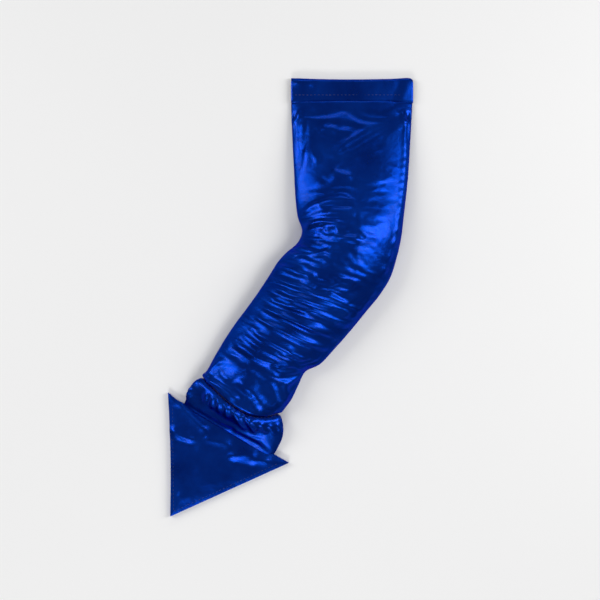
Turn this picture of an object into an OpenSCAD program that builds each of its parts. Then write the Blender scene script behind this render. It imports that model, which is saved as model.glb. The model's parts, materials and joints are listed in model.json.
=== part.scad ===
// Arrow-tipped costume tail, lying on its back: a padded cloth tube with a belt
// casing at its top, one elbow held by two riveted stays, and a flat arrow at its end.
// Millimetres. +Z is up off the surface it lies on, +Y runs towards the belt casing.

/* [Tube] */
// Distance from the top edge to the elbow pivot
upper_len = 226; // [188:1:290]
// Distance from the elbow pivot to the ankle crease
shank_len = 172; // [143:1:230]
// Distance from the ankle crease to the neck seam
ankle_len = 64; // [50:1:90]
// Flat width of the tube at its top edge
top_w = 160; // [130:1:200]
// Width of the tube at the elbow
elbow_w = 134; // [118:1:160]
// Width of the tube at the ankle crease and the neck seam
neck_w = 114; // [92:1:136]
// Height of the tube at the elbow, as it lies
elbow_h = 60; // [48:1:76]
// Height of the tube at the neck seam, as it lies
neck_h = 34; // [28:1:44]
// Angle by which the shank is bent away from the upper tube
elbow_bend = 38.5; // [10:0.5:60]
// Angle by which the tube bends back at the ankle crease
ankle_bend = 9; // [0:0.5:20]

/* [Belt casing] */
// Depth of the casing from the fold to its seam
casing_h = 30; // [26:1:45]
// Thickness of the casing as it lies
casing_t = 9; // [8:0.5:12]

/* [Cuff and arrow] */
// Length of the cuff from the neck seam to the base of the arrow
cuff_len = 44; // [32:1:60]
// Width of the cuff where it bulges
cuff_w = 136; // [118:1:160]
// Height of the cuff where it bulges
cuff_h = 38; // [34:1:48]
// Width of the arrow across its two barbs
arrow_w = 181; // [160:1:220]
// Length of the arrow from its base to its tip
arrow_len = 139; // [110:1:180]
// Sideways offset of the arrow's tip from its middle
tip_skew = -6; // [-12:1:12]
// Thickness of the arrow
arrow_t = 9; // [8:0.5:12]

/* [Cloth and board] */
// Thickness of the outer cloth with its backing
cloth_t = 1.2; // [0.8:0.1:2]
// Thickness of the seam tapes and the neck elastic
tape_t = 0.8; // [0.5:0.1:1.2]
// Width of the seam tapes
tape_w = 10; // [6:1:14]
// Width of the neck elastic
elastic_w = 8; // [5:1:12]
// Thickness of the foam board in the arrow
board_t = 4; // [3:0.5:5]

/* [Armature] */
// Width of the stays
stay_w = 16; // [12:1:24]
// Thickness of the stays
stay_t = 2; // [1.5:0.1:3]
// Height of the upper stay's underside above the surface
stay_z = 14; // [13:0.5:17]
// Diameter of the rivets' shanks
rivet_d = 5; // [4:0.5:6]
// Diameter of the cords in the two folding seams
cord_d = 4; // [3:0.5:4.5]
// Width of the webbing tab that carries the arrow
tab_w = 25; // [20:1:36]

/* [Hidden] */

// Finishes
lame_blue = [0.01, 0.13, 0.52];
lining_blue = [0.03, 0.09, 0.30];
wadding_white = [0.93, 0.93, 0.90];
stay_white = [0.85, 0.86, 0.84];
steel_grey = [0.70, 0.71, 0.73];
tape_navy = [0.02, 0.04, 0.18];
thread_blue = [0.02, 0.08, 0.35];
board_black = [0.12, 0.12, 0.13];

// Clearances
gap = 0.3;         // between soft pieces that lie against each other
run_gap = 0.05;    // radial clearance of a pin that turns
fit_gap = 0.1;     // between the rivet's head and the stay that turns under it

// Folding seams: both hinge cords lie half way up the thickness beside them
casing_axis_z = casing_t / 2;
arrow_axis_z = arrow_t / 2;
loop_wall = 1.2;
seam_tape_t = 2 * loop_wall;
loop_r = cord_d / 2 + run_gap + loop_wall;
casing_free = casing_t / 2 + 0.5;    // from the casing cord to the tube's top edge
cuff_free = arrow_t / 2 + 3;         // from the arrow cord to the cuff's end
arrow_free = loop_r + 0.8;           // from the arrow cord to the arrow's base edge

// Centre line: straight, elbow arc, straight, ankle arc, straight
elbow_run = 50;                      // tangent length of the elbow arc
ankle_run = 22;                      // tangent length of the ankle arc
elbow_r = elbow_run / tan(elbow_bend / 2);
elbow_arc = elbow_r * elbow_bend * PI / 180;
ankle_r = ankle_run / tan(max(ankle_bend, 0.01) / 2);
ankle_arc = ankle_r * ankle_bend * PI / 180;
last_turn = elbow_bend - ankle_bend;
s_arc = upper_len - elbow_run;
s_shank = s_arc + elbow_arc;
s_ankle = s_shank + shank_len - elbow_run - ankle_run;
s_last = s_ankle + ankle_arc;
s_neck = s_last + ankle_len - ankle_run;
s_base = s_neck + cuff_len;
s_seam = casing_h;

// The stiff parts of the tube stop this far from the elbow pivot, so that they clear at full bend
elbow_extra = 35;                    // how much further than its rest angle the elbow bends
elbow_cut = elbow_w / 2 * tan((elbow_bend + elbow_extra) / 2) + 3;
s_cut_upper = upper_len - elbow_cut;
s_cut_lower = s_shank + elbow_cut - elbow_run;
s_panel_top = s_seam + casing_free;
s_cuff_end = s_base - cuff_free;
s_wad_top = s_seam + 50;             // the wadding starts below the flat top
s_wad_end = s_neck - 12;

// Full width and height of the tube along its centre line
WIDTHS = [
    [s_seam, top_w],
    [upper_len * 0.6, elbow_w + (top_w - elbow_w) * 0.45],
    [s_cut_upper, elbow_w + 3],
    [s_shank - elbow_arc / 2, elbow_w],
    [s_ankle, neck_w + 3],
    [s_neck, neck_w],
    [s_neck + cuff_len * 0.45, cuff_w],
    [s_base, cuff_w]
];
HEIGHTS = [
    [s_panel_top, casing_t],
    [s_wad_top, elbow_h * 0.62],
    [upper_len * 0.6, elbow_h * 0.88],
    [s_cut_upper, elbow_h],
    [s_cut_lower, elbow_h],
    [s_ankle, neck_h + (elbow_h - neck_h) * 0.5],
    [s_neck, neck_h],
    [s_neck + cuff_len * 0.3, cuff_h],
    [s_cuff_end, arrow_t + 3]
];
widest_share = 0.42;                 // the widest level, as a share of the height
crown_n = 2.3;                       // roundness of the section above its widest level
belly_n = 3.6;                       // below it, where the tube lies flat
ring_step = 16;
half_points = 14;

// Where the upper stay's underside, the washer and the lower stay lie
washer_t = 0.5;
lower_stay_z = stay_z - washer_t - stay_t;
wad_floor = stay_z + stay_t + gap;             // underside of the front waddings
wad_ceiling = lower_stay_z - gap;              // top of the back waddings
inner = cloth_t + tape_t + 5 * gap;            // how deep the waddings lie under the cloth
head_r = rivet_d;
head_t = 1.2;

// Direction of the centre line after it has turned by an angle
function heading(turn) = [-sin(turn), -cos(turn)];

// [x, y, turn] of the centre line at a distance from the top edge, with the elbow pivot at the origin
function walk(s) =
    s <= s_arc ? [0, upper_len - s, 0]
    : s <= s_shank ? let (t = (s - s_arc) / elbow_r * 180 / PI)
        [elbow_r * (cos(t) - 1), elbow_run - elbow_r * sin(t), t]
    : s <= s_ankle ? let (p = walk(s_shank), d = heading(elbow_bend) * (s - s_shank))
        [p.x + d.x, p.y + d.y, elbow_bend]
    : s <= s_last ? let (p = walk(s_ankle), t = (s - s_ankle) / ankle_r * 180 / PI)
        [p.x + ankle_r * (cos(elbow_bend) - cos(elbow_bend - t)),
         p.y + ankle_r * (sin(elbow_bend - t) - sin(elbow_bend)), elbow_bend - t]
    : let (p = walk(s_last), d = heading(last_turn) * (s - s_last))
        [p.x + d.x, p.y + d.y, last_turn];

// A point at a distance to the side of the centre line and a height
function beside(s, v, z) = let (p = walk(s)) [p.x + v * cos(p[2]), p.y - v * sin(p[2]), z];

// A point of the section at an angle from its right edge, some depth under the surface
function rim(s, a, depth) =
    let (h = lookup(s, HEIGHTS), mid = widest_share * h, up = sin(a) >= 0,
         n = up ? crown_n : belly_n,
         v = (lookup(s, WIDTHS) / 2 - depth) * sign(cos(a)) * pow(abs(cos(a)), 2 / n),
         z = pow(abs(sin(a)), 2 / n))
    beside(s, v, up ? mid + (h - mid - depth) * z : mid - (mid - depth) * z);

// The angle at which the section, some depth under the surface, reaches a height
function rim_angle(s, z, depth) =
    let (h = lookup(s, HEIGHTS), mid = widest_share * h)
    z >= mid ? asin(pow(min((z - mid) / (h - mid - depth), 1), crown_n / 2))
             : -asin(pow(min((mid - z) / (mid - depth), 1), belly_n / 2));

// Distances from a to b, about one ring step apart
function stations(a, b) = let (n = max(1, ceil((b - a) / ring_step))) [for (i = [0 : n]) a + (b - a) * i / n];

// A closed solid through rings of points; the ends of a thin wall are closed as a strip
module skin(rings, thin = false) {
    n = len(rings);
    k = len(rings[0]);
    last = (n - 1) * k;
    sides = [for (i = [0 : n - 2]) for (j = [0 : k - 1])
        let (a = i * k + j, b = i * k + (j + 1) % k)
        each [[a, b, b + k], [a, b + k, a + k]]];
    ends = thin
        ? [for (j = [0 : k / 2 - 2]) let (m = k - 1 - j)
            each [[j, m, m - 1], [j, m - 1, j + 1],
                  [last + j, last + m - 1, last + m], [last + j, last + j + 1, last + m - 1]]]
        : [for (j = [1 : k - 2]) each [[0, j + 1, j], [last, last + j, last + j + 1]]];
    polyhedron([for (r = rings) each r], concat(sides, ends));
}

// A stretch of cloth wall from angle a0 to a1, between two depths under the surface
module wall(s0, s1, a0, a1, depth0, depth1, points = half_points) {
    angles = [for (i = [0 : points]) a0 + (a1 - a0) * i / points];
    skin([for (s = stations(s0, s1)) concat(
        [for (a = angles) rim(s, a, depth0)],
        [for (i = [points : -1 : 0]) rim(s, angles[i], depth1)])], thin = true);
}

module front_wall(s0, s1) { wall(s0, s1, 0, 180, 0, cloth_t); }
module back_wall(s0, s1) { wall(s0, s1, 180, 360, 0, cloth_t); }

// Wadding that fills the section above a height, or below one
module wadding_above(s0, s1, z) {
    skin([for (s = stations(s0, s1))
        let (a = rim_angle(s, z, inner))
        [for (i = [0 : half_points]) rim(s, a + (180 - 2 * a) * i / half_points, inner)]]);
}
module wadding_below(s0, s1, z) {
    skin([for (s = stations(s0, s1))
        let (a = rim_angle(s, z, inner))
        [for (i = [0 : half_points]) rim(s, 180 - a + (180 + 2 * a) * i / half_points, inner)]]);
}

// Places things beside the centre line: -Y runs on along it, +X is its right side
module at_station(s) {
    p = walk(s);
    translate([p.x, p.y, 0]) rotate([0, 0, -p[2]]) children();
}

// Draws a profile of (Y, Z) as a bar along X, centred
module bar(length) {
    rotate([90, 0, 90]) translate([0, 0, -length / 2]) linear_extrude(length) children();
}

// A cloth loop round a hinge cord at (0, z), sewn to whatever is drawn beside it
module loop_profile(z) {
    difference() {
        union() {
            translate([0, z]) circle(r = loop_r, $fn = 48);
            children();
        }
        translate([0, z]) circle(r = cord_d / 2 + run_gap, $fn = 48);
    }
}

// A loop with a flange of some thickness that reaches to one side
module flanged_loop(z, reach, thick) {
    loop_profile(z) translate([min(0, reach), z - thick / 2]) square([abs(reach), thick]);
}

// A flat strip between two points, with a slightly wider round eye at each end
module strip(p, q, wide, thick) {
    d = q - p;
    eye_d = wide + 3;
    translate([p.x, p.y, 0]) {
        cylinder(d = eye_d, h = thick, $fn = 48);
        rotate([0, 0, atan2(d.y, d.x)]) translate([0, -wide / 2, 0]) cube([norm(d), wide, thick]);
    }
    translate([q.x, q.y, 0]) cylinder(d = eye_d, h = thick, $fn = 48);
}

// A rivet of shank diameter d with two heads, and its grip between them from z = 0 upwards
module rivet(d, head_r, head_t, grip) {
    translate([0, 0, -head_t]) {
        cylinder(r = head_r, h = head_t, $fn = 48);
        cylinder(d = d, h = grip + 2 * head_t, $fn = 48);
    }
    translate([0, 0, grip]) cylinder(r = head_r, h = head_t, $fn = 48);
}

// Stitches of thread along X, lying on a face at height z
stitch_len = 3;
stitch_pitch = 6;
stitch_t = 0.5;
module stitches(width, y, z) {
    n = floor(width / stitch_pitch / 2);
    for (i = [-n : n]) translate([i * stitch_pitch - stitch_len / 2, y - stitch_t / 2, z])
        cube([stitch_len, stitch_t, stitch_t]);
}

// ---- Belt casing ----
channel_wall = cloth_t;
casing_loop_w = top_w * 0.5;          // the casing's own loop takes the middle of the cord
flange = loop_r + 0.8;                // from the cord to the casing's tube

// Round-ended outline of the casing's tube, some depth under its surface
module casing_outline(depth) {
    r = casing_t / 2 - depth;
    y0 = flange + casing_t / 2;
    y1 = casing_h - casing_t / 2;
    translate([y0, casing_axis_z]) circle(r = r, $fn = 48);
    translate([y1, casing_axis_z]) circle(r = r, $fn = 48);
    translate([y0, casing_axis_z - r]) square([y1 - y0, 2 * r]);
}
module belt_casing() {
    color(lame_blue) at_station(s_seam) difference() {
        union() {
            bar(top_w) casing_outline(0);
            bar(casing_loop_w) flanged_loop(casing_axis_z, flange + casing_t / 2, loop_wall * 2);
        }
        bar(top_w + 2) casing_outline(channel_wall);
    }
}
module casing_stitching() {
    color(thread_blue) at_station(s_seam)
        stitches(top_w - 16, flange + casing_t / 2, casing_t);
}
module casing_seam_cord() {
    color(tape_navy) at_station(s_seam) translate([0, 0, casing_axis_z]) rotate([0, 90, 0])
        cylinder(d = cord_d, h = top_w - 12, center = true, $fn = 48);
}

// ---- Upper tube ----
module upper_front_panel() { color(lame_blue) front_wall(s_panel_top, s_cut_upper); }
module upper_back_panel() { color(lame_blue) back_wall(s_panel_top, s_cut_upper); }
module upper_front_wadding() {
    color(wadding_white) wadding_above(s_wad_top, s_cut_upper - gap, wad_floor);
}
module upper_back_wadding() {
    color(wadding_white) wadding_below(s_wad_top, s_cut_upper - gap, wad_ceiling);
}
// Seam allowances folded on to the back panel along both sides, one facet of it wide
module side_tapes(s0, s1) {
    facet = 180 / half_points;
    wall(s0, s1, 360 - facet, 360, cloth_t + gap, cloth_t + gap + tape_t, 1);
    wall(s0, s1, 180, 180 + facet, cloth_t + gap, cloth_t + gap + tape_t, 1);
}
module upper_side_tapes() { color(lining_blue) side_tapes(s_wad_top, s_cut_upper - gap); }
// Tapes at both ends of the casing cord, sewn between the two panels
module top_seam_tapes() {
    each_w = (top_w - casing_loop_w) / 2 - 14;
    color(lining_blue) at_station(s_seam) for (side = [-1, 1])
        translate([side * (casing_loop_w / 2 + 1 + each_w / 2), 0, 0])
            bar(each_w) flanged_loop(casing_axis_z, -casing_free - tape_w, seam_tape_t);
}
module upper_stay() {
    color(stay_white) difference() {
        translate([0, 0, stay_z])
            strip([0, 0], [0, upper_len - s_wad_top - stay_w], stay_w, stay_t);
        translate([0, 0, stay_z - 1]) cylinder(d = rivet_d, h = stay_t + 2, $fn = 48);
    }
}
module elbow_rivet() {
    z0 = lower_stay_z - fit_gap;
    color(steel_grey) translate([0, 0, z0]) rivet(rivet_d, head_r, head_t, stay_z + stay_t - z0);
}

// ---- Elbow ----
elbow_off = elbow_r * (1 / cos(elbow_bend / 2) - 1);    // from the pivot to the centre line
disc_w = elbow_w / 2 - inner - 1;
disc_r = min(disc_w - elbow_off - 6, elbow_cut - 4);
disc_mid = widest_share * elbow_h;
disc_steps = 8;
// How far the tube's section closes in on the outer side of the elbow, from 1 at the pivot
function closing(r, n) = pow(1 - pow((r + elbow_off) / disc_w, n), 1 / n);
function dome(r) = disc_mid + (elbow_h - inner - disc_mid) * closing(r, crown_n);
function belly(r) = disc_mid - (disc_mid - inner) * closing(r, belly_n);
module elbow_front_wadding() {
    z0 = stay_z + stay_t + head_t + gap;
    color(wadding_white) rotate_extrude($fn = 72) polygon(concat(
        [[0, z0], [disc_r, z0]],
        [for (i = [disc_steps : -1 : 0]) let (r = disc_r * i / disc_steps) [r, dome(r)]]));
}
module elbow_back_wadding() {
    z1 = lower_stay_z - fit_gap - head_t - gap;
    back_r = disc_r - 8;
    color(wadding_white) rotate_extrude($fn = 72) polygon(concat(
        [[back_r, z1], [0, z1]],
        [for (i = [0 : disc_steps]) let (r = back_r * i / disc_steps) [r, belly(r)]]));
}
module elbow_front_panel() { color(lame_blue) front_wall(s_cut_upper, s_cut_lower); }
module elbow_back_panel() { color(lame_blue) back_wall(s_cut_upper, s_cut_lower); }

// ---- Shank ----
neck = walk(s_neck);
base = walk(s_base);
stay_end = [neck.x, neck.y];
module lower_front_panel() { color(lame_blue) front_wall(s_cut_lower, s_neck); }
module lower_back_panel() { color(lame_blue) back_wall(s_cut_lower, s_neck); }
module lower_front_wadding() {
    color(wadding_white) wadding_above(s_cut_lower + gap, s_wad_end, wad_floor);
}
module lower_back_wadding() {
    color(wadding_white) wadding_below(s_cut_lower + gap, s_wad_end - tab_lap, wad_ceiling);
}
module lower_side_tapes() { color(lining_blue) side_tapes(s_cut_lower + gap, s_wad_end); }
module lower_stay() {
    color(stay_white) difference() {
        translate([0, 0, lower_stay_z]) strip([0, 0], stay_end, stay_w, stay_t);
        translate([0, 0, lower_stay_z - 1]) cylinder(d = rivet_d + 2 * run_gap, h = stay_t + 2, $fn = 48);
        at_rivets() translate([0, 0, lower_stay_z - 1]) cylinder(d = tab_rivet_d + 2 * run_gap, h = stay_t + 2, $fn = 32);
    }
}
module friction_washer() {
    color(steel_grey) translate([0, 0, stay_z - washer_t]) difference() {
        cylinder(r = head_r + 1.5, h = washer_t, $fn = 48);
        translate([0, 0, -1]) cylinder(d = rivet_d + 2 * run_gap, h = washer_t + 2, $fn = 48);
    }
}

// ---- Neck and cuff ----
module neck_elastic() {
    color(tape_navy) {
        wall(s_neck - elastic_w, s_neck, 0, 180, cloth_t + gap, cloth_t + gap + tape_t);
        wall(s_neck - elastic_w, s_neck, 180, 360, cloth_t + gap, cloth_t + gap + tape_t);
    }
}
// Gathering stitches on the cloth beside the neck seam
module neck_stitching() {
    lift = 0.05;
    half_angle = 0.6;
    color(thread_blue) for (a = [20 : 10 : 160])
        wall(s_neck - gap - stitch_len, s_neck - gap, a - half_angle, a + half_angle, -stitch_t, -lift, 1);
}
module cuff_front_panel() { color(lame_blue) front_wall(s_neck, s_cuff_end); }
module cuff_back_panel() { color(lame_blue) back_wall(s_neck, s_cuff_end); }
module cuff_wadding() {
    color(wadding_white) wadding_above(s_neck + gap, s_neck + cuff_len * 0.45, wad_floor);
}
// Webbing tab: flat under the end of the lower stay, then down to a loop round the arrow's cord
tab_t = 1.5;
tab_lap = 26;                         // how far it lies under the stay
tab_ease = 4;                         // how far past the neck seam it starts to come down
tab_rivet_d = 3;
tab_head_t = 1;
rivet_pitch = 12;
rivet_edge = 4;
module at_rivets() {
    at_station(s_neck) for (y = [rivet_edge, rivet_edge + rivet_pitch]) translate([0, y, 0]) children();
}
module neck_tab() {
    y_loop = loop_r - loop_wall / 2;
    y_lap = cuff_len + tab_lap;
    y_bend = cuff_len - tab_ease;
    top = lower_stay_z;
    color(lining_blue) difference() {
        at_station(s_base) bar(tab_w) loop_profile(arrow_axis_z) polygon([
            [y_loop, arrow_axis_z - tab_t / 2], [y_loop, arrow_axis_z + tab_t / 2],
            [y_bend, top], [y_lap, top], [y_lap, top - tab_t], [y_bend, top - tab_t]]);
        at_rivets() translate([0, 0, top - tab_t - 1]) cylinder(d = tab_rivet_d + 2 * run_gap, h = tab_t + 2, $fn = 32);
    }
}
module tab_rivets() {
    color(steel_grey) at_rivets() {
        translate([0, 0, lower_stay_z - tab_t])
            rivet(tab_rivet_d, tab_rivet_d, tab_head_t, stay_t + tab_t);
    }
}

// ---- Arrow ----
// The arrow's outline, clockwise from its left barb, starting behind the hinge cord
base_y = -arrow_free;
cord_w = cuff_w * 0.75;
arrow_outline = [[-arrow_w / 2, base_y], [arrow_w / 2, base_y], [tip_skew, -arrow_len]];

// Where two lines, each moved inwards by d, meet at corner i of a clockwise outline
function inset_corner(o, i, d) =
    let (n = len(o), p = o[(i + n - 1) % n], q = o[i], r = o[(i + 1) % n],
         a = (q - p) / norm(q - p), b = (r - q) / norm(r - q),
         na = [a.y, -a.x], nb = [b.y, -b.x])
    q + (na + nb) * d / (1 + na * nb);
function inset(o, d) = [for (i = [0 : len(o) - 1]) inset_corner(o, i, d)];

module arrow_plate(depth, z0, z1) {
    at_station(s_base) translate([0, 0, z0]) linear_extrude(z1 - z0)
        polygon(inset(arrow_outline, depth));
}
board_z = cloth_t;
fill_z = board_z + board_t;
module arrow_back_panel() { color(lame_blue) arrow_plate(0, 0, cloth_t); }
module arrow_front_panel() {
    color(lame_blue) difference() {
        arrow_plate(0, cloth_t, arrow_t);
        arrow_plate(cloth_t, 0, arrow_t - cloth_t);
        base_slot(0);
    }
}
module arrow_board() {
    color(board_black) difference() {
        arrow_plate(cloth_t + gap, board_z, fill_z);
        base_slot(gap);
    }
}
module arrow_wadding() {
    color(wadding_white) difference() {
        arrow_plate(cloth_t + gap, fill_z, arrow_t - cloth_t - gap);
        base_slot(gap);
    }
}
// Room in the arrow's base edge for the tapes that hold the cord
module base_slot(extra) {
    wide = cord_w + 2 * extra;
    high = seam_tape_t + 2 * extra;
    at_station(s_base) translate([-wide / 2, -arrow_free - tape_w - extra, arrow_axis_z - high / 2])
        cube([wide, tape_w + extra + 1, high]);
}
// The cord in the arrow's base seam: the tab's loop turns on its middle
module arrow_base_cord() {
    color(tape_navy) at_station(s_base) translate([0, 0, arrow_axis_z]) rotate([0, 90, 0])
        cylinder(d = cord_d, h = cord_w, center = true, $fn = 48);
}
module base_seam_tapes() {
    each_w = (cord_w - tab_w) / 2 - 1;
    color(lining_blue) at_station(s_base) for (side = [-1, 1])
        translate([side * (tab_w / 2 + 1 + each_w / 2), 0, 0])
            bar(each_w) flanged_loop(arrow_axis_z, -arrow_free - tape_w, seam_tape_t);
}
// Edge stitches along the two free sides of the arrow
module arrow_stitching() {
    o = inset(arrow_outline, 4);
    color(thread_blue) at_station(s_base) for (i = [1, 2]) {
        p = o[i];
        d = o[(i + 1) % 3] - p;
        n = floor(norm(d) / stitch_pitch);
        for (k = [1 : n - 1]) translate([p.x + d.x * k / n, p.y + d.y * k / n, arrow_t + stitch_t / 2])
            rotate([0, 0, atan2(d.y, d.x)]) cube([stitch_len, stitch_t, stitch_t], center = true);
    }
}

// Moves the elbow pivot so that the origin is under the middle of the whole tail
barb = beside(s_base, -arrow_w / 2, 0) + concat(-base_y * heading(last_turn), [0]);
tip = beside(s_base, tip_skew, 0) + concat(arrow_len * heading(last_turn), [0]);
centre = [(barb.x + top_w / 2) / 2, (tip.y + upper_len) / 2, 0];
echo(pivot = -centre, casing_axis = [0, upper_len - casing_h, casing_axis_z] - centre,
     arrow_axis = [base.x, base.y, arrow_axis_z] - centre, last_turn = last_turn,
     box = [top_w / 2 - barb.x, upper_len - tip.y]);

translate(-centre) {
    belt_casing();
    casing_stitching();
    casing_seam_cord();
    upper_front_panel();
    upper_back_panel();
    upper_front_wadding();
    upper_back_wadding();
    upper_side_tapes();
    top_seam_tapes();
    upper_stay();
    elbow_rivet();
    elbow_front_wadding();
    elbow_back_wadding();
    elbow_front_panel();
    elbow_back_panel();
    lower_front_panel();
    lower_back_panel();
    lower_front_wadding();
    lower_back_wadding();
    lower_side_tapes();
    lower_stay();
    friction_washer();
    neck_elastic();
    neck_stitching();
    cuff_front_panel();
    cuff_back_panel();
    cuff_wadding();
    neck_tab();
    tab_rivets();
    arrow_front_panel();
    arrow_back_panel();
    arrow_board();
    arrow_wadding();
    arrow_base_cord();
    base_seam_tapes();
    arrow_stitching();
}
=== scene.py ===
"""Builds the looks of a padded, arrow-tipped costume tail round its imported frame."""

import json
import math

import bmesh
import bpy
import numpy as np
from bpy.props import (
    BoolProperty,
    FloatProperty,
    FloatVectorProperty,
    IntProperty,
    PointerProperty,
)
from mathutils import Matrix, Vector


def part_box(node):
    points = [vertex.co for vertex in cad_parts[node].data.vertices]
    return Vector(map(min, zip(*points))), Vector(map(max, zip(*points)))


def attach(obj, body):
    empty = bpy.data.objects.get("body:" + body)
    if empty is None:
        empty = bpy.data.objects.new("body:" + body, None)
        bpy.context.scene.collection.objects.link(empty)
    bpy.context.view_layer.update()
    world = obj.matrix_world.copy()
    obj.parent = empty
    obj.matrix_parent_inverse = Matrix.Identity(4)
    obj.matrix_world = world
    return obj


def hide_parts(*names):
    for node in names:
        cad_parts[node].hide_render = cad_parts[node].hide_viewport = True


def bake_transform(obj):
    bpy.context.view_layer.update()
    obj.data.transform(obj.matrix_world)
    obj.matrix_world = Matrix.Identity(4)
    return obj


bl_info = {
    "name": "Costume Tail",
    "version": (1, 0, 0),
    "blender": (4, 5, 0),
    "location": "3D View > Sidebar > Costume Tail",
    "description": "Cloth, cords and stage of a padded costume tail",
    "category": "Mesh",
}

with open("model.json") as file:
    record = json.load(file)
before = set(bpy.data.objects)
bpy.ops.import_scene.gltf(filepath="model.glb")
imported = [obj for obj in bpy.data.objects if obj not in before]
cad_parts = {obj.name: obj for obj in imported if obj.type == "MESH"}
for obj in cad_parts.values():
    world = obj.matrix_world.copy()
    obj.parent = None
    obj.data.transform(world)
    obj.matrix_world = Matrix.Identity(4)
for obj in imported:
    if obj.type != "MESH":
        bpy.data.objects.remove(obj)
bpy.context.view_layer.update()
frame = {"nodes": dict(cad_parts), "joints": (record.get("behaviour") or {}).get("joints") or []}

MM = 0.001
JOINTS = {joint["name"]: joint for joint in frame["joints"]}
CASING_SEAM = Vector(JOINTS["casing_fold"]["pos_m"])
TOP_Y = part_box("belt_casing")[1].y / MM
TOP_X = (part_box("belt_casing")[0].x / MM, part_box("belt_casing")[1].x / MM)
SEAM_Y = CASING_SEAM.y / MM

# ---- The tail's own drawing, in millimetres ----

# Each rib runs from the tube's left edge to its right edge: (left, right, height)
TUBE_RIBS = (
    ((-0.2, SEAM_Y + 1), (160.2, SEAM_Y + 1), 9.2),
    ((0, 248), (159.9, 248), 11.5),
    ((0.5, 232), (158.8, 232), 16),
    ((2.4, 200), (156.4, 200), 25),
    ((4.5, 160), (153.4, 160), 36),
    ((6.6, 125), (149.6, 125), 45),
    ((9.5, 103), (146.5, 100), 52),
    ((15, 86), (143.5, 76), 55),
    ((9, 70), (137.5, 50), 57),
    ((-5, 58), (129, 24), 58),
    ((-16, 46), (116, 3), 58),
    ((-28, 27), (98, -19), 57),
    ((-42, 6), (79, -42.5), 55),
    ((-57, -15), (57, -67.5), 52),
    ((-72, -35), (38, -87.5), 49),
    ((-86, -56), (19.5, -97), 46),
    ((-99, -78), (10.8, -113.5), 42),
    ((-109, -96), (0, -135), 40),
    ((-115, -103), (-12, -151), 38),
    ((-114.8, -105.5), (-13.8, -153.5), 36),
)
NECK = (np.array((-114.5, -105.0)), np.array((-13.5, -153.0)))
NECK_BOW = 16     # how far the neck seam bows towards the arrow over the front
CUFF_RIBS = (
    ((-114.6, -104.5), (-13.6, -152.5), 35.5),
    ((-121, -107), (-10.8, -160), 37),
    ((-127, -112), (-9.2, -171), 35),
    ((-131.5, -119), (-10.5, -183), 30),
    ((-135, -127), (-15, -194), 22),
    ((-137.3, -135), (-20.5, -204), 15),
    ((-139, -138.5), (-23, -207.8), 10.8),
    ((-141, -142), (-26, -211), 8.4),
)

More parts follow.
